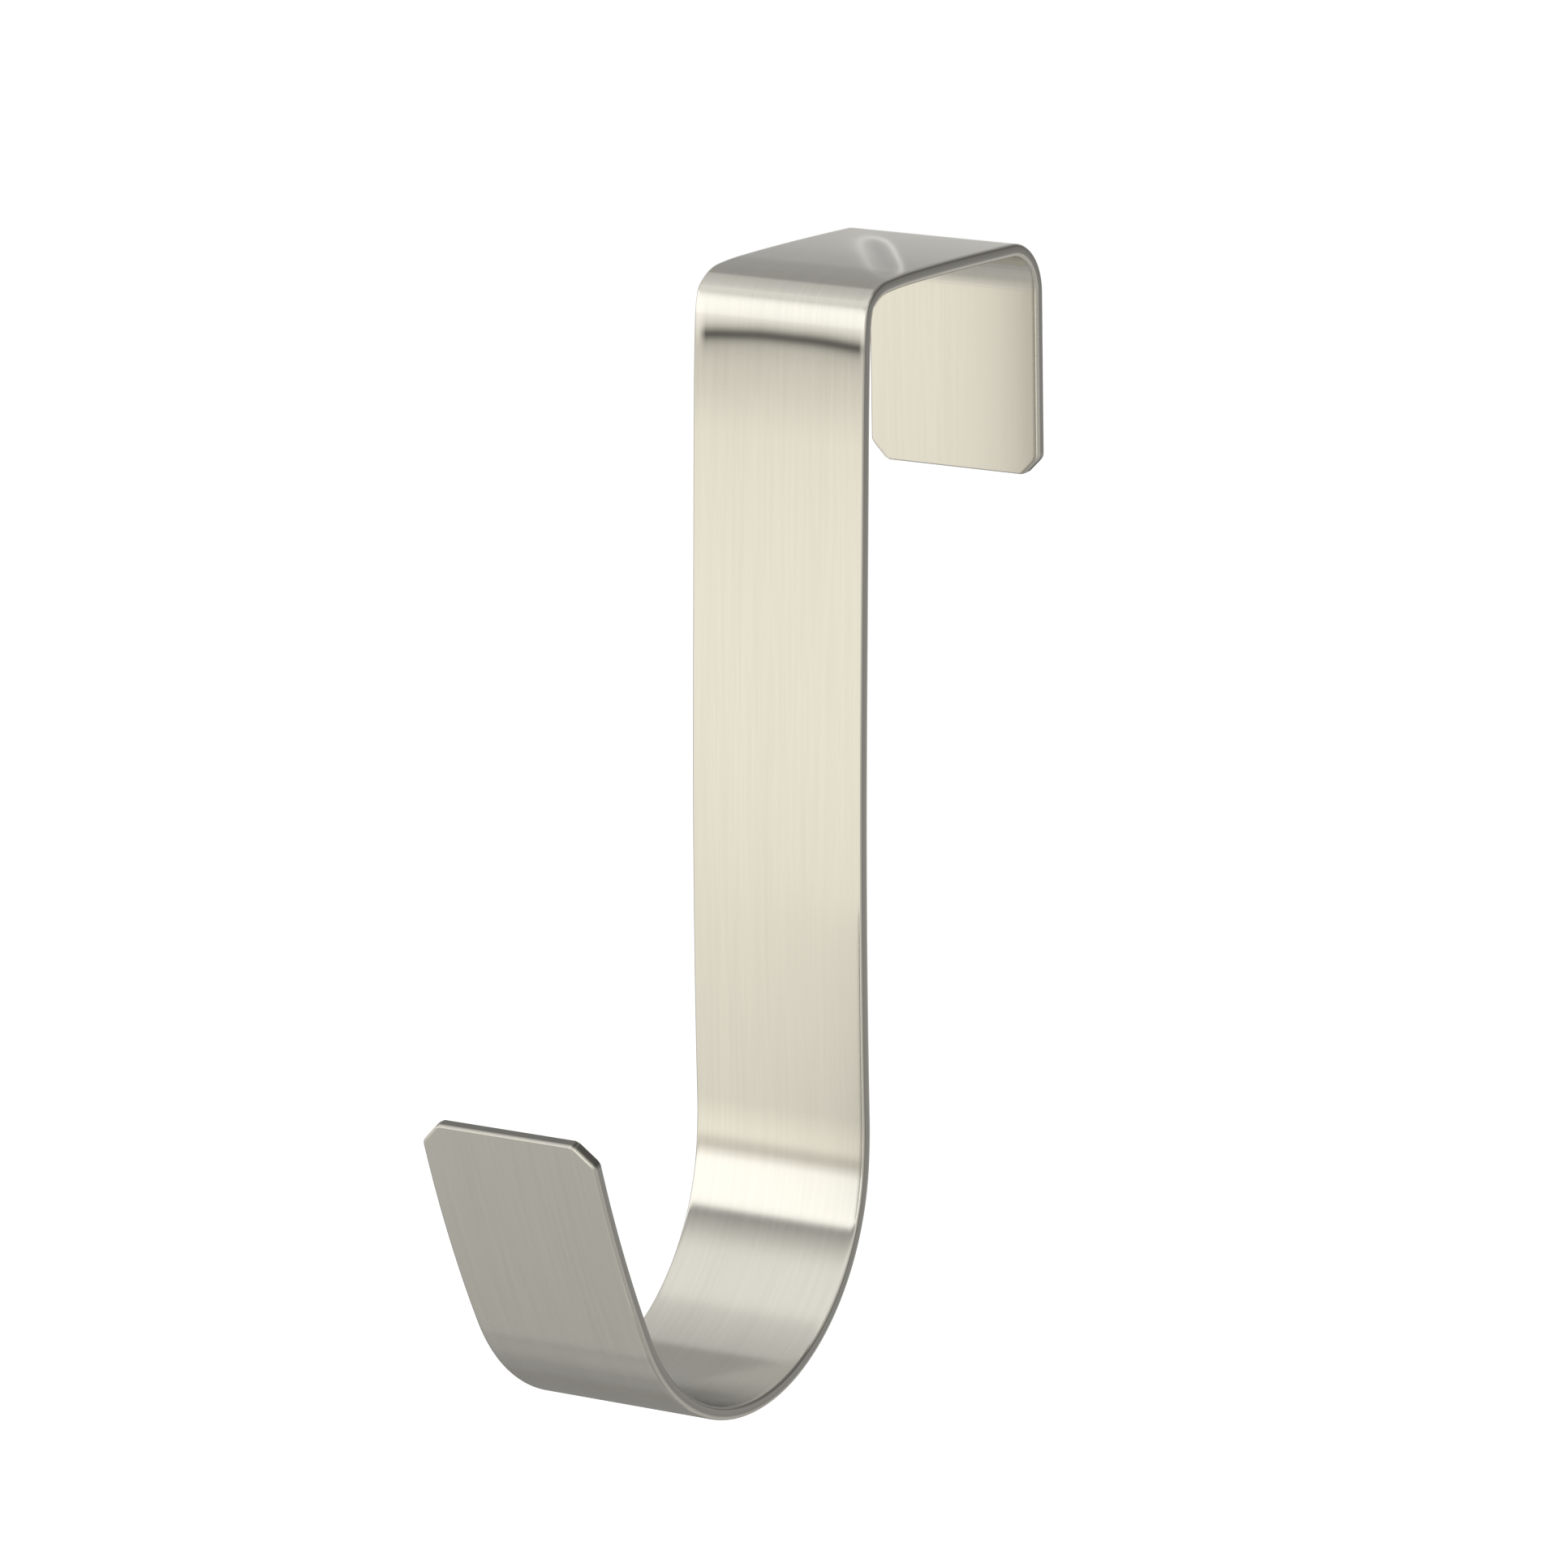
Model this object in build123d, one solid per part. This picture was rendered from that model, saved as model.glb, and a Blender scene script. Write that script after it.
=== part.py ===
"""Cabinet door hook: one strip of steel bent over the top of a door, down its front and up into a hook.

Frame: X runs across the strip, -Y is the hook's side of the door, +Z is up.
The origin is the middle of the flat underside that rests on the top of the door.
Lengths are in millimetres and angles in degrees. Bend radii are those of the inside of the bend.
"""
from build123d import *
import os
from math import copysign, degrees, isclose

# The stock: strip steel cut to length, tumbled until its edges are no longer sharp
strip_width = 15.0
strip_thickness = 1.0
edge_rounding = 0.15

# The saddle over the door: a flat seat, and a short tab that hangs behind the door
seat_length = 16.3
back_bend_radius = 4.4
tab_length = 13.2
tab_flare = 1.8

# The shank on the door's front, which springs forward in a slight bow
front_bend_radius = 3.1
shank_length = 61.5
shank_bow_radius = 830.0

# The hook: a wide bend, a slightly tighter one at its front, and a lip that leans outwards
hook_bend_radius = 15.8
hook_bend_sweep = 131.0
toe_bend_radius = 14.4
toe_bend_sweep = 22.0
lip_length = 18.4
lip_bow_radius = 102.0

# The clipped corners at the strip's two ends
tab_corner = 1.4
lip_corner = 1.6
corner_rounding = 0.5

# The shallow mark that the forming tool left in the top, slanting across the strip
mark_length = 14.0
mark_width = 4.4
mark_depth = 0.12
mark_x = 1.1
mark_y = -0.3
mark_slant = 38.0


def bend(inside_radius, sweep):
    """A bend as the mid-surface's radius and its turn, anticlockwise if the sweep is positive."""
    return inside_radius + strip_thickness / 2, sweep


def bow(radius, length):
    """A long gentle curve of this length, as a mid-surface radius and a turn."""
    return abs(radius), copysign(degrees(length / radius), radius)


shank_bow = bow(shank_bow_radius, shank_length)
half_bow = shank_bow[1] / 2

# Behind the seat: the back bend, then the straight tab (a pair is a bend, a number a straight run)
back_way = [
    bend(back_bend_radius, tab_flare - 90),
    tab_length,
]
# In front of the seat: the front bend leads into the bowed shank, whose ends lie one above the other
front_way = [
    bend(front_bend_radius, 90 - half_bow),
    shank_bow,
    bend(hook_bend_radius, -hook_bend_sweep),
    bend(toe_bend_radius, -toe_bend_sweep),
    bow(-lip_bow_radius, lip_length),
]


def follow(way, start, direction, offset):
    """Tangent lines along one face of the strip, which lies offset to the left of the mid-surface."""
    lines = []
    for step in way:
        if isinstance(step, tuple):
            radius, turn = step
            line = JernArc(start, direction, radius - offset * copysign(1, turn), turn)
        else:
            line = Line(start, start + direction * step)
        lines.append(line)
        start = line @ 1
        direction = line % 1
    return lines


def strip_profile():
    """The strip seen from the side, drawn in the YZ plane: both faces, closed at the tab and at the lip."""
    underside = (Vector(-seat_length / 2, 0), Vector(seat_length / 2, 0))
    top = tuple(point + Vector(0, strip_thickness) for point in underside)
    half = strip_thickness / 2
    outer_back = follow(back_way, top[1], Vector(1, 0), half)
    inner_back = follow(back_way, underside[1], Vector(1, 0), -half)
    outer_front = follow(front_way, top[0], Vector(-1, 0), -half)
    inner_front = follow(front_way, underside[0], Vector(-1, 0), half)
    seat = [Line(*underside), Line(*top)]
    ends = [Line(outer_back[-1] @ 1, inner_back[-1] @ 1), Line(outer_front[-1] @ 1, inner_front[-1] @ 1)]
    outline = outer_back + inner_back + outer_front + inner_front + seat + ends
    return Plane.YZ * make_face([line.edge() for line in outline])


def edges_as_long_as(size, shape):
    """Corners are as long as the strip is thick, and seams between two bends as long as it is wide."""
    return [edge for edge in shape.edges() if isclose(edge.length, size, rel_tol=0.002)]


def clip_corners(strip):
    """Cuts the corners of both ends, first the tab's, which lies further back, and rounds the cuts off."""
    for size in (tab_corner, lip_corner):
        square_ends = strip.faces().filter_by(lambda face: isclose(face.area, strip_width * strip_thickness))
        end = square_ends.sort_by(Axis.Y)[-1]
        strip = chamfer(edges_as_long_as(strip_thickness, end), size)
    return fillet(edges_as_long_as(strip_thickness, strip), corner_rounding)


def round_edges(strip):
    """Rounds the cut outline on both faces, but not the corners or the seams between bends."""
    left_sharp = edges_as_long_as(strip_thickness, strip) + edges_as_long_as(strip_width, strip)
    return fillet([edge for edge in strip.edges() if edge not in left_sharp], edge_rounding)


def tool_mark():
    """The round-nosed tool that left the mark: its belly is curved along the mark and across it."""
    radius_along = mark_length ** 2 / (8 * mark_depth)
    radius_across = mark_width ** 2 / (8 * mark_depth)
    belly = Torus(radius_along - radius_across, radius_across)
    lowest = strip_thickness - mark_depth
    return Pos(mark_x, mark_y, lowest + radius_along) * Rot(0, 0, mark_slant) * Rot(0, 90, 0) * belly


def hook_strip():
    """The whole strip: bent, clipped at its corners, its edges rounded and its top marked."""
    bent_strip = extrude(strip_profile(), strip_width / 2, both=True)
    return round_edges(clip_corners(bent_strip)) - tool_mark()


os.makedirs("parts", exist_ok=True)
export_step(hook_strip(), "parts/hook_strip.step")
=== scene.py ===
from math import cos, pi, radians, sin, tan

import bpy
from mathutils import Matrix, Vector


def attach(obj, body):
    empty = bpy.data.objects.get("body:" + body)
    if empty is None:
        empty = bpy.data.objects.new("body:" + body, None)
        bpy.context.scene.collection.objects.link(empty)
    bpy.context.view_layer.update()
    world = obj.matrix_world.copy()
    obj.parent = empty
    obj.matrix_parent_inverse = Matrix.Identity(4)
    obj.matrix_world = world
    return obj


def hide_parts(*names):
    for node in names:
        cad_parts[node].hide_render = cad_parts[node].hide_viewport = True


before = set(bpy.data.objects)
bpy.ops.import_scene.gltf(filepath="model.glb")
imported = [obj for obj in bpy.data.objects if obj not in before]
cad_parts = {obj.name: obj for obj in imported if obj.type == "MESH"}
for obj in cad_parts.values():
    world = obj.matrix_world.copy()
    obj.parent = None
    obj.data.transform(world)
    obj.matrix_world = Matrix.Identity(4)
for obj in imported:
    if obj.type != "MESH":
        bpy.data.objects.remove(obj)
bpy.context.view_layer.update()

# The strip: one length of 15 x 1 mm satin steel, brushed along its length, its corners clipped and its
# edges tumbled. It is cut flat, marked by the press, and then bent over the door and up into the hook.
# Sizes are in metres and turns in radians, measured along the middle of the strip's thickness.
strip_width = 0.015
strip_thickness = 0.001
half_thickness = strip_thickness / 2
cut_sizes = {
    "Width": strip_width,
    "Thickness": strip_thickness,
    "Edge Rounding": 0.00025,
    "Tab Corner": 0.0014,
    "Lip Corner": 0.0016,
    "Corner Rounding": 0.0005,
}
mark_sizes = {
    "Mark Across": 0.0019,
    "Mark Back": -0.0012,
    "Mark Slant": radians(36),
    "Mark Length": 0.0188,
    "Mark Width": 0.0028,
    "Mark Depth": 0.00006,
}
# Where the painted dark reflection under the front bend lies, along the strip
painted_line_place = 0.0148

# Each stretch has its length, its turn in degrees and the number of rings that its mesh gets. The strip
# first turns down from the crowned seat on either side, and after the shank the other way, into the hook.
way_to_tab = {
    "Rear Seat": (0.00915, 1.0, 40),
    "Back Bend": (0.005935, 87.2, 44),
    "Tab": (0.0142, 0.0, 14),
}
way_to_lip = {
    "Front Seat": (0.006044, 1.17, 26),
    "Front Shoulder": (0.003133, 4.45, 16),
    "Front Bend": (0.00265, 38.37, 28),
    "Bend Crease": (0.00022, 27.08, 1),
    "Front Foot": (0.00160, 14.7, 18),
    "Bend Ease": (0.0030, 2.7, 14),
    "Shank Ease": (0.0060, 1.1, 14),
    "Shank Top": (0.02176, 0.0, 10),
    "Shank": (0.029377, 2.78, 24),
    "Hook Ease": (0.0040, -8.1, 14),
    "Hook Bend": (0.035538, -125.47, 70),
    "Toe Bend": (0.005206, -19.69, 15),
    "Lip": (0.01831, -10.3, 20),
}


def node(tree, kind, feeds=None, **settings):
    """A node with its own settings, and its sockets fed by values or by other nodes' outputs."""
    made = tree.nodes.new(kind)
    for name, value in settings.items():
        setattr(made, name, value)
    for socket, value in (feeds or {}).items():
        if isinstance(value, bpy.types.NodeSocket):
            tree.links.new(value, made.inputs[socket])
        else:
            made.inputs[socket].default_value = value
    return made


def maths(tree, operation, *terms):
    """One step of arithmetic on numbers or outputs."""
    return node(tree, "ShaderNodeMath", dict(enumerate(terms)), operation=operation).outputs[0]


def peak(tree, value, middle, spread):
    """1 where the value is at the middle, falling smoothly towards 0 on both sides of it."""
    off = maths(tree, "DIVIDE", maths(tree, "SUBTRACT", value, middle), spread)
    return maths(tree, "DIVIDE", 1.0, maths(tree, "MULTIPLY_ADD", off, off, 1.0))


def mark_axes(tree, x, y, across, back, slant):
    """How far a point of the flat blank lies from the mark's middle, along the mark and to its right."""
    off_x = maths(tree, "SUBTRACT", x, across)
    off_y = maths(tree, "SUBTRACT", maths(tree, "MULTIPLY", y, -1.0), back)
    sine, cosine = maths(tree, "SINE", slant), maths(tree, "COSINE", slant)
    x_along, y_along = maths(tree, "MULTIPLY", off_x, sine), maths(tree, "MULTIPLY", off_y, cosine)
    x_aside, y_aside = maths(tree, "MULTIPLY", off_x, cosine), maths(tree, "MULTIPLY", off_y, sine)
    return maths(tree, "SUBTRACT", x_along, y_along), maths(tree, "ADD", x_aside, y_aside)


def new_tree(name, kind, takes, gives):
    """An empty node group with its named inputs and outputs, and its two end nodes."""
    tree = bpy.data.node_groups.new(name, kind)
    for direction, sockets in (("INPUT", takes), ("OUTPUT", gives)):
        for socket, type_name in sockets.items():
            tree.interface.new_socket(socket, in_out=direction, socket_type="NodeSocket" + type_name)
    return tree, tree.nodes.new("NodeGroupInput").outputs, tree.nodes.new("NodeGroupOutput").inputs


# One bending station: what has passed it has run on, turned, and stands at a new place and heading
station_numbers = ("Along", "Heading", "Start", "Length", "Turn")
station_takes = dict.fromkeys(station_numbers, "Float") | {"Place": "Vector"}
station_gives = {"Place": "Vector", "Heading": "Float", "End": "Float"}
station, given, made_of = new_tree("Bending Station", "GeometryNodeTree", station_takes, station_gives)
smallest_turn = 1e-4
passed = maths(station, "SUBTRACT", given["Along"], given["Start"])
passed = maths(station, "MINIMUM", maths(station, "MAXIMUM", passed, 0.0), given["Length"])
turned = maths(station, "DIVIDE", maths(station, "MULTIPLY", passed, given["Turn"]), given["Length"])
half_turned = maths(station, "MULTIPLY", turned, 0.5)
bent = maths(station, "MAXIMUM", maths(station, "ABSOLUTE", half_turned), smallest_turn)
chord = maths(station, "MULTIPLY", passed, maths(station, "DIVIDE", maths(station, "SINE", bent), bent))
middle_heading = maths(station, "ADD", given["Heading"], half_turned)
advance = node(station, "ShaderNodeCombineXYZ", {
    "Y": maths(station, "MULTIPLY", chord, maths(station, "COSINE", middle_heading)),
    "Z": maths(station, "MULTIPLY", chord, maths(station, "SINE", middle_heading)),
})
reached = node(station, "ShaderNodeVectorMath", {0: given["Place"], 1: advance.outputs[0]}, operation="ADD")
station.links.new(reached.outputs[0], made_of["Place"])
station.links.new(maths(station, "ADD", given["Heading"], turned), made_of["Heading"])
station.links.new(maths(station, "ADD", given["Start"], given["Length"]), made_of["End"])

# The press line: cuts the blank, marks it and bends it at each station in turn
strip_takes = {"Geometry": "Geometry"} | dict.fromkeys([*cut_sizes, *mark_sizes], "Float")
for stretch in (*way_to_tab, *way_to_lip):
    strip_takes |= {stretch + " Length": "Float", stretch + " Turn": "Float"}
strip_takes |= {"Face Finish": "Material", "Edge Finish": "Material"}
press, sizes, pressed = new_tree("Press Line", "GeometryNodeTree", strip_takes, {"Geometry": "Geometry"})


def figure(operation, *terms):
    """One step of the press line's arithmetic."""
    return maths(press, operation, *terms)


def shaped(kind, geometry, socket="Geometry", **feeds):
    """The geometry after one of the press line's nodes."""
    feeds = {name.replace("_", " "): value for name, value in feeds.items()}
    return node(press, kind, {socket: geometry} | feeds).outputs[0]


def attribute(name, data_type="FLOAT"):
    """The value that each point keeps under this name."""
    reader = node(press, "GeometryNodeInputNamedAttribute", {"Name": name}, data_type=data_type)
    return reader.outputs["Attribute"]


def store(geometry, name, value, data_type="FLOAT"):
    """Writes a value onto the points of a geometry under a name."""
    feeds = {"Geometry": geometry, "Name": name, "Value": value}
    return node(press, "GeometryNodeStoreNamedAttribute", feeds, data_type=data_type).outputs[0]


def vector(**parts):
    """A vector from its X, Y and Z, each 0 if it isn't given."""
    return node(press, "ShaderNodeCombineXYZ", parts).outputs[0]


def added(one, other):
    """The sum of two vectors."""
    return node(press, "ShaderNodeVectorMath", {0: one, 1: other}, operation="ADD").outputs[0]


def clamp_to(value, reach):
    """The value, but at most this far from 0."""
    return figure("MAXIMUM", figure("MINIMUM", value, reach), figure("MULTIPLY", reach, -1.0))


# The section of the blank: a rounded rectangle whose long sides have a point every 0.23 mm
arc_steps, wide_cuts, shortest_long_side = 6, 60, 0.002
sides = {"Width": sizes["Width"], "Height": sizes["Thickness"]}
section = node(press, "GeometryNodeCurvePrimitiveQuadrilateral", sides)
arcs = {"Curve": section.outputs[0], "Radius": sizes["Edge Rounding"], "Count": arc_steps}
rounded = node(press, "GeometryNodeFilletCurve", arcs, mode="POLY")
here = node(press, "GeometryNodeInputPosition").outputs[0]
next_point = node(press, "GeometryNodeOffsetPointInCurve", {"Offset": 1}).outputs["Point Index"]
at_next = {"Value": here, "Index": next_point}
there = node(press, "GeometryNodeFieldAtIndex", at_next, data_type="FLOAT_VECTOR").outputs[0]
gap = node(press, "ShaderNodeVectorMath", {0: here, 1: there}, operation="DISTANCE")
is_long = figure("GREATER_THAN", gap.outputs["Value"], shortest_long_side)
cuts = figure("MULTIPLY", is_long, wide_cuts)
divided = node(press, "GeometryNodeSubdivideCurve", {"Curve": rounded.outputs[0], "Cuts": cuts})
section_outline = store(divided.outputs[0], "section", here, "FLOAT_VECTOR")

# The stations along the strip, from the middle of the seat to either end. The last rings before an end
# are close together, each run of them with its reach inwards and its number of rings.
end_edge = figure("MULTIPLY", sizes["Edge Rounding"], 0.5)
tip_rings = ((end_edge, 6), (0.00012, 5), (0.002, 22))
same_ring = 5e-6
along = attribute("along")
lines, ends, places, headings = [], [], [], []
for side, way, start_place, start_heading in (
    (-1.0, way_to_tab, (0.0, 0.0, 0.0), 0.0),
    (1.0, way_to_lip, (0.0, 0.0, half_thickness), pi),
):
    travelled = figure("MULTIPLY", along, side)
    place, heading, start = start_place, start_heading, 0.0
    for stretch, (length, turn, rings) in way.items():
        stop = node(press, "GeometryNodeGroup", {
            "Along": travelled, "Place": place, "Heading": heading, "Start": start,
            "Length": sizes[stretch + " Length"], "Turn": sizes[stretch + " Turn"],
        }, node_tree=station)
        place, heading, end = (stop.outputs[name] for name in ("Place", "Heading", "End"))
        if stretch == "Bend Crease":
            crease_start, crease_end = start, end
        pieces_of_line = [(start, end, rings)]
        if stretch in ("Tab", "Lip"):
            pieces_of_line, outer = [], end
            for reach, tip_count in tip_rings:
                inner = figure("SUBTRACT", outer, reach)
                pieces_of_line.append((inner, outer, tip_count))
                outer = inner
            pieces_of_line.append((start, outer, rings))
        for first, last, count in pieces_of_line:
            line = node(press, "GeometryNodeMeshLine", {"Count": count + 1}, mode="END_POINTS")
            for socket, value in (("Start Location", first), ("Offset", last)):
                press.links.new(vector(X=figure("MULTIPLY", value, side)), line.inputs[socket])
            lines.append(line.outputs[0])
        start = end
    ends.append(end)
    places.append(place)
    headings.append(heading)
joined = node(press, "GeometryNodeJoinGeometry")
for line in lines:
    press.links.new(line, joined.inputs[0])
chain = shaped("GeometryNodeMergeByDistance", joined.outputs[0], Distance=same_ring)
rail = shaped("GeometryNodeMeshToCurve", chain, "Mesh")
rail = store(rail, "along", node(press, "ShaderNodeSeparateXYZ", {0: here}).outputs["X"])
blank = shaped("GeometryNodeCurveToMesh", rail, "Curve", Profile_Curve=section_outline, Fill_Caps=True)

# The cut ends: the corners are clipped at 45 degrees and softened, and every edge keeps its rounding
clip_softness = 0.0004
x, h, _ = node(press, "ShaderNodeSeparateXYZ", {0: attribute("section", "FLOAT_VECTOR")}).outputs
edge = sizes["Edge Rounding"]
core_width = figure("SUBTRACT", figure("MULTIPLY", sizes["Width"], 0.5), edge)
core_height = figure("SUBTRACT", figure("MULTIPLY", sizes["Thickness"], 0.5), edge)
core_x, core_h = clamp_to(x, core_width), clamp_to(h, core_height)
to_tab, to_lip = figure("ADD", along, ends[0]), figure("SUBTRACT", ends[1], along)
at_tab = figure("LESS_THAN", to_tab, to_lip)
to_end = figure("MINIMUM", to_tab, to_lip)
rounding_angle = figure("MULTIPLY", figure("MINIMUM", figure("DIVIDE", to_end, end_edge), 1.0), pi / 2)
rounding = figure("SINE", rounding_angle)
inside = figure("MAXIMUM", figure("SUBTRACT", to_end, end_edge), 0.0)
curled = figure("MULTIPLY", end_edge, figure("SUBTRACT", 1.0, figure("COSINE", rounding_angle)))
shift = figure("SUBTRACT", figure("ADD", inside, curled), to_end)
inwards = figure("SUBTRACT", figure("MULTIPLY", at_tab, 2.0), 1.0)
shift = figure("MULTIPLY", shift, inwards)
true_along = figure("ADD", along, shift)
tab_extra = figure("SUBTRACT", sizes["Tab Corner"], sizes["Lip Corner"])
corner = figure("MULTIPLY_ADD", at_tab, tab_extra, sizes["Lip Corner"])
corner = figure("SUBTRACT", corner, end_edge)
clip = figure("SMOOTH_MAX", figure("SUBTRACT", corner, inside), 0.0, clip_softness)
arc = figure("SUBTRACT", sizes["Corner Rounding"], end_edge)
in_arc = figure("MINIMUM", inside, figure("MULTIPLY", arc, 1 - cos(pi / 4)))
arc_left = figure("SUBTRACT", arc, in_arc)
arc_square, left_square = figure("MULTIPLY", arc, arc), figure("MULTIPLY", arc_left, arc_left)
arc_height = figure("SQRT", figure("SUBTRACT", arc_square, left_square))
arc_clip = figure("SUBTRACT", figure("MULTIPLY_ADD", arc, tan(pi / 8), in_arc), arc_height)
clip = figure("ADD", clip, arc_clip)
narrowed = figure("DIVIDE", figure("SUBTRACT", core_width, clip), core_width)
narrow_x = figure("MULTIPLY", core_x, narrowed)
cut_x = figure("MULTIPLY_ADD", figure("SUBTRACT", x, core_x), rounding, narrow_x)
cut_h = figure("MULTIPLY_ADD", figure("SUBTRACT", h, core_h), rounding, core_h)

# The press's mark: a shallow trough that slants across the top of the seat, with low banks
end_softness, bank_share, trough_power, above_core = 0.35, 0.8, 3.0, 1.05
mark_place = (sizes["Mark Across"], sizes["Mark Back"], sizes["Mark Slant"])
lengthwise, sideways = mark_axes(press, cut_x, along, *mark_place)
long_share = figure("DIVIDE", figure("MULTIPLY", lengthwise, 2.0), sizes["Mark Length"])
wide_share = figure("DIVIDE", figure("MULTIPLY", sideways, 2.0), sizes["Mark Width"])
deep = figure("SUBTRACT", 1.0, figure("MULTIPLY", long_share, long_share))
deep = figure("MULTIPLY", figure("SMOOTH_MAX", deep, 0.0, end_softness), sizes["Mark Depth"])
dip = figure("MULTIPLY", figure("MULTIPLY", wide_share, wide_share), bank_share)
dip = figure("SUBTRACT", dip, 1.0)
dip = figure("MULTIPLY", dip, figure("POWER", peak(press, wide_share, 0.0, 1.0), trough_power))
on_top = figure("GREATER_THAN", cut_h, figure("MULTIPLY", core_height, above_core))
marked_h = figure("MULTIPLY_ADD", figure("MULTIPLY", dip, deep), on_top, cut_h)

# Every point is carried to its place in the bent strip, and keeps where it was in the flat blank. The
# ends' own rounding shifts a point along the strip's run.
blank = store(blank, "blank_place", vector(X=cut_x, Y=true_along, Z=cut_h), "FLOAT_VECTOR")
heading = figure("ADD", *headings)
run = vector(Y=figure("COSINE", heading), Z=figure("SINE", heading))
blank = store(blank, "brushed_way", run, "FLOAT_VECTOR")
under_h = figure("MULTIPLY", marked_h, -1.0)
outward = vector(
    X=cut_x,
    Y=figure("MULTIPLY", figure("SINE", heading), marked_h),
    Z=figure("MULTIPLY", figure("COSINE", heading), under_h),
)
slide = node(press, "ShaderNodeVectorMath", {0: run, "Scale": shift}, operation="SCALE").outputs[0]
bent_place = added(added(added(*places), outward), slide)
bent_strip = shaped("GeometryNodeSetPosition", blank, Position=bent_place)

# Its faces look outward, and points that the rounding has brought together are joined. The crease is
# one narrow flat facet, with a corner on either side of it.
same_point = 1e-6
bent_strip = shaped("GeometryNodeFlipFaces", bent_strip, "Mesh")
bent_strip = shaped("GeometryNodeMergeByDistance", bent_strip, Distance=same_point)
before_crease = figure("LESS_THAN", along, crease_start)
past_crease = figure("GREATER_THAN", along, crease_end)
round_shaded = figure("ADD", before_crease, past_crease)
bent_strip = shaped("GeometryNodeSetShadeSmooth", bent_strip, Shade_Smooth=round_shaded)

# Two finishes: brushed on both faces and their rounded rims, tumbled on the cut edges all round
edge_share = 0.8
rim_width = figure("ADD", core_width, figure("MULTIPLY", edge, edge_share))
cut_side = figure("GREATER_THAN", figure("ABSOLUTE", x), rim_width)
cut_end = figure("LESS_THAN", to_end, figure("MULTIPLY", end_edge, edge_share))
is_edge = figure("MAXIMUM", cut_side, cut_end)
bent_strip = shaped("GeometryNodeRealizeInstances", bent_strip)
bent_strip = shaped("GeometryNodeSetMaterial", bent_strip, Material=sizes["Face Finish"])
bent_strip = shaped("GeometryNodeSetMaterial", bent_strip, Selection=is_edge, Material=sizes["Edge Finish"])
press.links.new(bent_strip, pressed["Geometry"])

# The brush's lines: long fine streaks that follow the strip round its bends, the same on either face
lines_takes = {"Place": "Vector", "Across": "Float", "Along": "Float", "Depth": "Float"}
brush, takes, gives = new_tree("Brushed Lines", "ShaderNodeTree", lines_takes, {"Streak": "Float"})
split = node(brush, "ShaderNodeSeparateXYZ", {0: takes["Place"]}).outputs
scaled = node(brush, "ShaderNodeCombineXYZ", {
    "X": maths(brush, "DIVIDE", split["X"], takes["Across"]),
    "Y": maths(brush, "DIVIDE", split["Y"], takes["Along"]),
    "Z": maths(brush, "DIVIDE", split["Z"], takes["Across"]),
})
grain = {"Vector": scaled.outputs[0], "Scale": 1.0, "Detail": 2.0, "Roughness": 0.5}
noise = node(brush, "ShaderNodeTexNoise", grain)
centred = maths(brush, "SUBTRACT", noise.outputs["Fac"], 0.5)
brush.links.new(maths(brush, "MULTIPLY", centred, takes["Depth"]), gives["Streak"])

# Masks from 0 to 1: the ring round the mark in the top, for a painted highlight, the trough inside it, for
# painted shade, the front bend's stretched crease, and the line just under it, for a painted dark
# reflection
traced_sizes = [name for name in mark_sizes if name != "Mark Depth"]
trace_takes = {"Place": "Vector"} | dict.fromkeys((*traced_sizes, "Line"), "Float")
trace_gives = dict.fromkeys(("Ring Sheen", "Trough Shade", "Crease", "Painted Bend Line"), "Float")
traces, takes, gives = new_tree("Press Traces", "ShaderNodeTree", trace_takes, trace_gives)
top_height = 0.0003
ring_at, ring_spread, ring_narrowing, ring_power = 0.88, 0.28, -0.20, 1.5
ring_level, ring_gain, ring_least = 0.85, 0.6, 0.55
trough_shade_spread, trough_shade_power = 0.6, 2.0
crease_before_line, crease_spread, crease_power = 0.0029, 0.0011, 2.0
line_spread, line_bow, line_crest = 0.00062, 5.0, 0.0015
line_middle, line_reach, line_end_fade = 0.0003, 0.0067, 1500.0
waver_scale, waver_height = 220.0, 0.00025


def trace(operation, *terms):
    """One step of the press traces' arithmetic."""
    return maths(traces, operation, *terms)


split = node(traces, "ShaderNodeSeparateXYZ", {0: takes["Place"]}).outputs
top_face = trace("GREATER_THAN", split["Z"], top_height)

# The distance from the mark's middle is 1 on a long rounded oval, and the ring, a painted highlight, is
# sharper and brighter along the mark's right bank
mark_place = (takes["Mark Across"], takes["Mark Back"], takes["Mark Slant"])
lengthwise, sideways = mark_axes(traces, split["X"], split["Y"], *mark_place)
long_share = trace("DIVIDE", lengthwise, takes["Mark Length"])
wide_share = trace("DIVIDE", sideways, takes["Mark Width"])
long_part = trace("MULTIPLY", long_share, long_share)
wide_part = trace("MULTIPLY", wide_share, wide_share)
long_part = trace("MULTIPLY", trace("MULTIPLY", long_part, long_part), 4.0)
from_middle = trace("MULTIPLY", trace("SQRT", trace("ADD", long_part, wide_part)), 2.0)
spread = trace("MULTIPLY_ADD", wide_share, ring_narrowing, ring_spread)
ring = trace("POWER", peak(traces, from_middle, ring_at, spread), ring_power)
brighter = trace("MAXIMUM", trace("MULTIPLY_ADD", wide_share, ring_gain, ring_level), ring_least)
ring_sheen = trace("MINIMUM", trace("MULTIPLY", ring, brighter), 1.0)
traces.links.new(trace("MULTIPLY", ring_sheen, top_face), gives["Ring Sheen"])
# The trough's painted shade
trough_shade = trace("POWER", peak(traces, from_middle, 0.0, trough_shade_spread), trough_shade_power)
traces.links.new(trace("MULTIPLY", trough_shade, top_face), gives["Trough Shade"])
crease_at = trace("SUBTRACT", takes["Line"], crease_before_line)
crease = trace("POWER", peak(traces, split["Y"], crease_at, crease_spread), crease_power)
traces.links.new(trace("MULTIPLY", crease, top_face), gives["Crease"])
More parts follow.
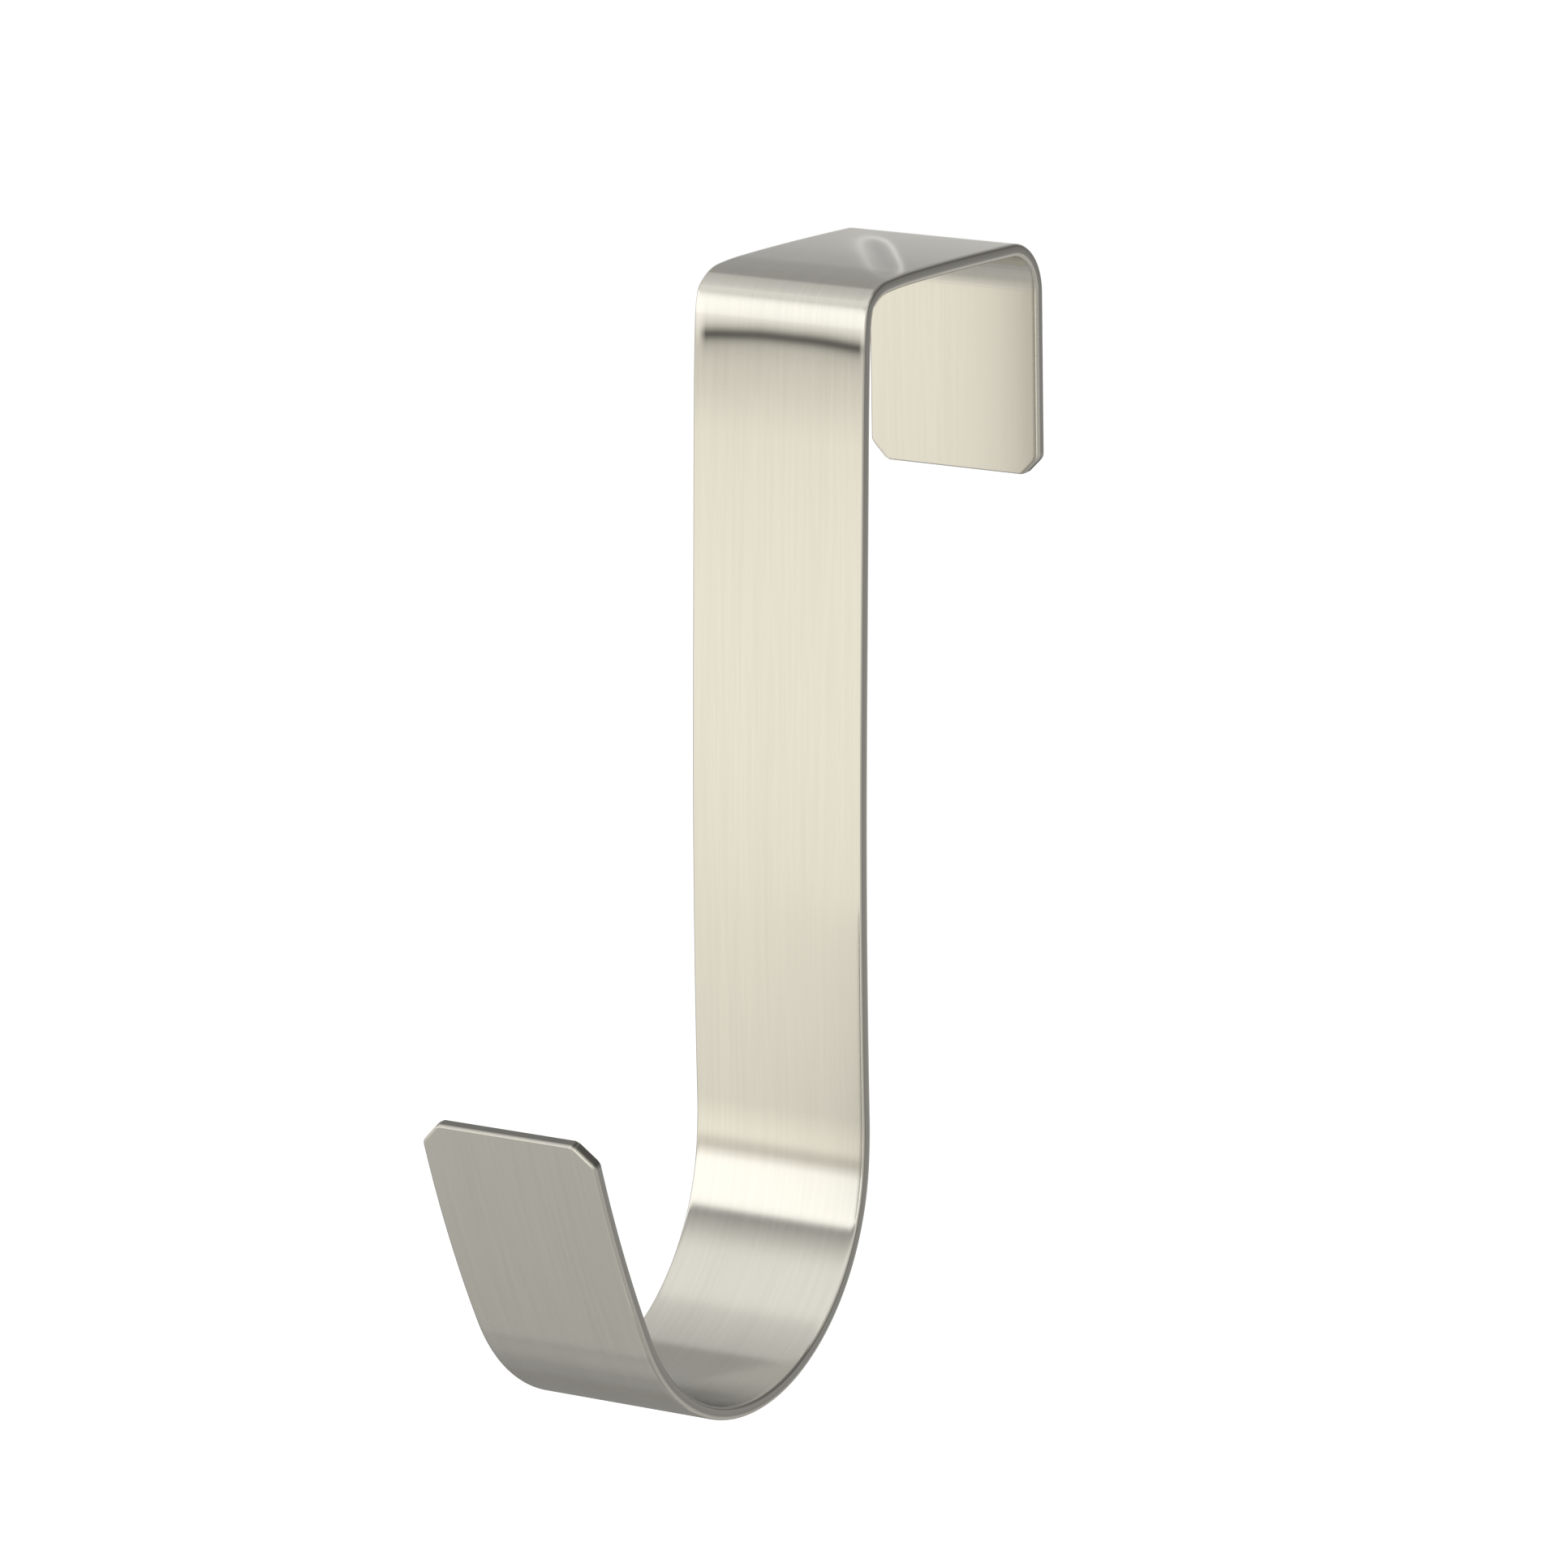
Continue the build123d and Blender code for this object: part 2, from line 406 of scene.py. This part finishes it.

# The painted dark reflection under the crease arches a little, wavers, and stops short of the strip's edges
ripple = {"Vector": takes["Place"], "Scale": waver_scale, "Detail": 0.0}
waver = node(traces, "ShaderNodeTexNoise", ripple).outputs["Fac"]
waver = trace("MULTIPLY", trace("SUBTRACT", waver, 0.5), waver_height)
from_crest = trace("SUBTRACT", split["X"], line_crest)
bowed = trace("MULTIPLY_ADD", trace("MULTIPLY", from_crest, from_crest), line_bow, waver)
line_at = trace("SUBTRACT", split["Y"], bowed)
off_centre = trace("ABSOLUTE", trace("SUBTRACT", split["X"], line_middle))
past_end = trace("MULTIPLY", trace("SUBTRACT", off_centre, line_reach), line_end_fade)
fades = trace("SUBTRACT", 1.0, trace("MINIMUM", trace("MAXIMUM", past_end, 0.0), 1.0))
drawn = trace("MULTIPLY", peak(traces, line_at, takes["Line"], line_spread), fades)
traces.links.new(trace("MULTIPLY", drawn, top_face), gives["Painted Bend Line"])

# The steels: a warm satin one for the faces, and a greyer one for the cut edges. The brush has medium, fine
# and broad streaks, each with their width, length and strength, and the painted highlight and shades of the
# masks change the tone by a share.
brushes = ((0.00040, 0.014, 1.0), (0.00014, 0.006, 0.5), (0.0030, 0.020, 0.7))
streak_tone, streak_gloss = 0.09, 0.03
painted_light_tones = {"Painted Bend Line": -0.84, "Ring Sheen": 0.15, "Trough Shade": -0.08}
crease_roughness = 0.07
skin_tip = 0.036
hook_start, hook_rebounce_shade = 0.055, (0.50, 0.50, 0.49, 1.0)
lighter_cut_top, lighter_cut_rate, lower_cut_colour = -0.00014, -6000.0, (0.70, 0.675, 0.60, 1.0)


def steel(name, colour, roughness, anisotropy):
    """A warm steel with its own gloss, brushed across its tangent, and its streaks in tone and gloss."""
    material = bpy.data.materials.new(name)
    material.use_nodes = True
    tree = material.node_tree
    shader = tree.nodes["Principled BSDF"]
    shader.inputs["Metallic"].default_value = 1.0
    place = node(tree, "ShaderNodeAttribute", attribute_name="blank_place").outputs["Vector"]
    blank_at = node(tree, "ShaderNodeSeparateXYZ", {0: place}).outputs
    streaks = []
    for across, length, depth in brushes:
        feeds = {"Place": place, "Across": across, "Along": length, "Depth": depth}
        streaks.append(node(tree, "ShaderNodeGroup", feeds, node_tree=brush).outputs["Streak"])
    streak = maths(tree, "ADD", maths(tree, "ADD", *streaks[:2]), streaks[2])
    grey = maths(tree, "MULTIPLY_ADD", streak, streak_tone, 1.0)
    rough = maths(tree, "MULTIPLY_ADD", streak, streak_gloss, roughness)
    if anisotropy:
        shader.inputs["Anisotropic Rotation"].default_value = 0.25
        way = node(tree, "ShaderNodeAttribute", attribute_name="brushed_way").outputs["Vector"]
        tree.links.new(way, shader.inputs["Tangent"])
        feeds = {"Place": place, "Line": painted_line_place} | {size: mark_sizes[size] for size in traced_sizes}
        traced = node(tree, "ShaderNodeGroup", feeds, node_tree=traces).outputs
        # Painted highlight on the ring, painted shade in the trough, and a painted dark reflection along
        # the bend's line
        for mask, tone in painted_light_tones.items():
            grey = maths(tree, "MULTIPLY", grey, maths(tree, "MULTIPLY_ADD", traced[mask], tone, 1.0))
        rough = maths(tree, "MULTIPLY_ADD", traced["Crease"], crease_roughness, rough)
        evener = maths(tree, "MULTIPLY_ADD", traced["Crease"], -anisotropy, anisotropy)
        tree.links.new(evener, shader.inputs["Anisotropic"])
        # The tool dragged the skin of the ring along, which has left it tipped towards the mark's far end
        slant = mark_sizes["Mark Slant"]
        tip = maths(tree, "MULTIPLY", traced["Ring Sheen"], skin_tip)
        drag_feeds = {0: (-sin(slant), cos(slant), 0.0), "Scale": tip}
        drag = node(tree, "ShaderNodeVectorMath", drag_feeds, operation="SCALE").outputs[0]
        skin = node(tree, "ShaderNodeNewGeometry").outputs["Normal"]
        skin = node(tree, "ShaderNodeVectorMath", {0: skin, 1: drag}, operation="ADD").outputs[0]
        skin = node(tree, "ShaderNodeVectorMath", {0: skin}, operation="NORMALIZE").outputs[0]
        tree.links.new(skin, shader.inputs["Normal"])
        # Painted shade inside the hook: light that has already bounced off the steel once turns grey there
        depth = maths(tree, "MINIMUM", node(tree, "ShaderNodeLightPath").outputs["Ray Depth"], 1.0)
        in_hook = maths(tree, "GREATER_THAN", blank_at["Y"], hook_start)
        share, second_colour = maths(tree, "MULTIPLY", depth, in_hook), hook_rebounce_shade
    else:
        # The lower part of the cut is lighter, and the rest keeps the darker edge colour
        lower = maths(tree, "MULTIPLY", maths(tree, "SUBTRACT", blank_at["Z"], lighter_cut_top), lighter_cut_rate)
        share = maths(tree, "MINIMUM", maths(tree, "MAXIMUM", lower, 0.0), 1.0)
        second_colour = lower_cut_colour
    mix_feeds = {0: share, 6: (*colour, 1.0), 7: second_colour}
    mixed = node(tree, "ShaderNodeMix", mix_feeds, data_type="RGBA").outputs[2]
    tone = node(tree, "ShaderNodeVectorMath", {0: mixed, "Scale": grey}, operation="SCALE")
    tree.links.new(tone.outputs[0], shader.inputs["Base Color"])
    tree.links.new(rough, shader.inputs["Roughness"])
    return material


finishes = {
    "Face Finish": steel("satin_brushed_steel", (0.745, 0.717, 0.637), 0.183, 0.89),
    "Edge Finish": steel("tumbled_steel_edge", (0.36, 0.345, 0.31), 0.26, 0.0),
}

# The press line is run once with all its sizes, and its result is kept as a plain mesh
strip = bpy.data.objects.new("bent_strip", bpy.data.meshes.new("bent_strip"))
bpy.context.scene.collection.objects.link(strip)
line_up = strip.modifiers.new("Press Line", "NODES")
line_up.node_group = press
entered = {**cut_sizes, **mark_sizes, **finishes}
for way, sense in ((way_to_tab, -1), (way_to_lip, 1)):
    for stretch, (length, turn, _) in way.items():
        entered[stretch + " Length"] = length
        entered[stretch + " Turn"] = radians(turn) * sense
for item in press.interface.items_tree:
    if item.in_out == "INPUT" and item.name in entered:
        line_up[item.identifier] = entered[item.name]
depsgraph = bpy.context.evaluated_depsgraph_get()
strip.data = bpy.data.meshes.new_from_object(strip.evaluated_get(depsgraph), depsgraph=depsgraph)
strip.modifiers.clear()
strip.data.name = "bent_strip"
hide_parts("hook_strip")
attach(strip, "root")


# The studio: a pale floor far below the hanging hook, in a white room. Both look white to the camera and
# in a reflection, and light the hook at a plain level.
white = (1.0, 1.0, 1.0, 1.0)
room_glow, shown_glow, floor_glow = 0.65, 0.35, 0.5
floor_height, floor_reach = -1.6, 8.0


def shows_white(tree):
    """1 for a ray that looks at a surface, straight, by a reflection or through glass, and 0 for light."""
    path = node(tree, "ShaderNodeLightPath").outputs
    seen = maths(tree, "MAXIMUM", path["Is Camera Ray"], path["Is Glossy Ray"])
    return maths(tree, "MAXIMUM", seen, path["Is Transmission Ray"])


def level_square(name, height, reach, material):
    """A level square of this material, facing up."""
    corners = [(a * reach, b * reach, height) for a, b in ((-1, -1), (1, -1), (1, 1), (-1, 1))]
    mesh = bpy.data.meshes.new(name)
    mesh.from_pydata(corners, [], [(0, 1, 2, 3)])
    mesh.materials.append(material)
    square = bpy.data.objects.new(name, mesh)
    bpy.context.scene.collection.objects.link(square)


pale = bpy.data.materials.new("pale_floor")
pale.use_nodes = True
pale_tree = pale.node_tree
pale_shader = pale_tree.nodes["Principled BSDF"]
pale_shader.inputs["Base Color"].default_value = (0.9, 0.9, 0.9, 1)
pale_shader.inputs["Roughness"].default_value = 0.9
pale_shader.inputs["Emission Color"].default_value = white
shown = maths(pale_tree, "MULTIPLY", shows_white(pale_tree), floor_glow)
pale_tree.links.new(shown, pale_shader.inputs["Emission Strength"])
level_square("floor", floor_height, floor_reach, pale)

world = bpy.data.worlds.new("white_room")
bpy.context.scene.world = world
world.use_nodes = True
room = world.node_tree
background = room.nodes["Background"]
background.inputs["Color"].default_value = white
room_light = maths(room, "MULTIPLY_ADD", shows_white(room), shown_glow, room_glow)
room.links.new(room_light, background.inputs["Strength"])

# The light tent round the hook, out of the camera's sight: a softbox at the front in a dark frame, a pale
# table below it, a pale roof and a dim back. Each panel is part of a ball, with its azimuths (from the
# door's front towards +X), its elevations, the glow at its corners (lower two first) and its warmth.
tent_light = bpy.data.materials.new("tent_light")
tent_light.use_nodes = True
tent_tree = tent_light.node_tree
tent_tree.nodes.remove(tent_tree.nodes["Principled BSDF"])
glow = node(tent_tree, "ShaderNodeAttribute", attribute_name="glow").outputs["Color"]
lit = node(tent_tree, "ShaderNodeEmission", {"Color": glow, "Strength": 1.0})
tent_tree.links.new(lit.outputs[0], tent_tree.nodes["Material Output"].inputs["Surface"])
tent_middle = Vector((0.0, -0.02, -0.04))
near_radius, far_radius, near_below = 1.35, 4.0, -20
columns, rows = 10, 6
warm_green, warm_blue = 0.022, 0.085
panels = {
    "under": ((-180, 180), (-90, -62), (0.36, 0.36, 0.36, 0.36), 0.0),
    "table_near": ((-77, 29), (-62, -40), (0.46, 0.60, 0.53, 0.55), 0.1),
    "table_middle": ((-77, 29), (-40, -20), (0.53, 0.55, 0.86, 0.90), 0.5),
    "table": ((-77, 29), (-20, -12), (0.86, 0.90, 1.08, 1.08), 1.0),
    "table_far": ((-77, 29), (-12, -9.2), (1.08, 1.08, 1.14, 1.14), 1.0),
    "table_edge": ((-77, 29), (-9.2, -7.6), (1.14, 1.14, 0.78, 0.78), 1.0),
    "softbox_frame": ((-77, 29), (-7.6, -5.0), (0.72, 0.72, 0.72, 0.72), 1.0),
    "softbox_foot": ((-77, 29), (-5.0, -1.5), (0.86, 0.86, 1.32, 1.32), 0.5),
    "softbox": ((-77, 29), (-1.5, 22.3), (1.42, 1.42, 1.42, 1.42), -0.2),
    "softbox_top": ((-77, 29), (22.3, 26.2), (0.24, 0.24, 0.24, 0.24), 0.0),
    "front_roof": ((-77, 29), (26.2, 40), (0.40, 0.40, 0.94, 0.94), 0.0),
    "roof": ((-77, 29), (40, 88), (0.97, 0.95, 0.97, 0.9), 0.0),
    "left_low": ((-125, -77), (-62, -3), (0.30, 0.42, 0.35, 0.6), -0.2),
    "left": ((-125, -77), (-3, 88), (0.60, 0.76, 0.60, 0.76), -0.2),
    "back_low": ((-180, -125), (-62, -8), (0.26, 0.29, 0.26, 0.28), 0.3),
    "back_horizon": ((-180, -125), (-8, 5.5), (0.95, 0.95, 0.95, 0.95), 0.0),
    "back_step": ((-180, -125), (5.5, 11.5), (0.90, 0.90, 0.36, 0.36), 0.0),
    "back_fade": ((-180, -125), (11.5, 20), (0.36, 0.36, 0.38, 0.38), 0.0),
    "back": ((-180, -125), (20, 88), (0.38, 0.38, 0.40, 0.40), -0.2),
    "right_back_low": ((110, 180), (-62, -15.5), (0.50, 0.50, 0.54, 0.54), 0.0),
    "right_back_line": ((110, 180), (-15.5, -14), (0.54, 0.54, 0.80, 0.80), 0.0),
    "right_back_middle": ((110, 180), (-14, -11.5), (0.78, 0.76, 0.78, 0.76), 0.0),
    "right_back_fade": ((110, 180), (-11.5, -10), (0.78, 0.76, 0.46, 0.44), 0.0),
    "right_back_horizon": ((110, 180), (-10, 20), (0.46, 0.44, 0.26, 0.24), 0.0),
    "right_back": ((110, 180), (20, 88), (0.10, 0.16, 0.3, 0.3), 0.0),
    "right_low": ((29, 110), (-62, -3), (0.42, 0.42, 0.56, 0.45), 0.3),
    "right": ((29, 110), (-3, 88), (0.9, 0.40, 0.8, 0.40), 0.2),
}
for name, (azimuths, elevations, corners, warmth) in panels.items():
    tint = Vector((1.0, 1.0 - warm_green * warmth, 1.0 - warm_blue * warmth))
    radius = near_radius if elevations[0] < near_below else far_radius
    points, levels = [], []
    for j in range(rows + 1):
        for i in range(columns + 1):
            u, v = i / columns, j / rows
            azimuth = radians(azimuths[0] + u * (azimuths[1] - azimuths[0]))
            elevation = radians(elevations[0] + v * (elevations[1] - elevations[0]))
            level = cos(elevation)
            outwards = Vector((sin(azimuth) * level, -cos(azimuth) * level, sin(elevation)))
            points.append(tent_middle + outwards * radius)
            low = corners[0] * (1 - u) + corners[1] * u
            high = corners[2] * (1 - u) + corners[3] * u
            levels += [*(tint * (low * (1 - v) + high * v)), 1.0]
    span = columns + 1
    starts = [j * span + i for j in range(rows) for i in range(columns)]
    mesh = bpy.data.meshes.new(name)
    mesh.from_pydata(points, [], [(a, a + 1, a + 1 + span, a + span) for a in starts])
    mesh.attributes.new("glow", "FLOAT_COLOR", "POINT").data.foreach_set("color", levels)
    mesh.materials.append(tent_light)
    panel = bpy.data.objects.new(name, mesh)
    bpy.context.scene.collection.objects.link(panel)
    panel.visible_camera = panel.visible_diffuse = panel.visible_shadow = False

# The camera stands at the photograph's angle, with a long lens 0.7 m away, so that the perspective is as
# weak as there
camera = bpy.data.objects.new("camera", bpy.data.cameras.new("camera"))
bpy.context.scene.collection.objects.link(camera)
camera.location = (0.367780, -0.600595, 0.116276)
camera.rotation_euler = (pi / 2 - radians(12.5156), 0.0, radians(32.023))
camera.data.lens = 217.4
camera.data.sensor_width = 36.0
camera.data.clip_start, camera.data.clip_end = 0.05, 30.0
bpy.context.scene.camera = camera
bpy.context.scene.view_settings.view_transform = "Standard"
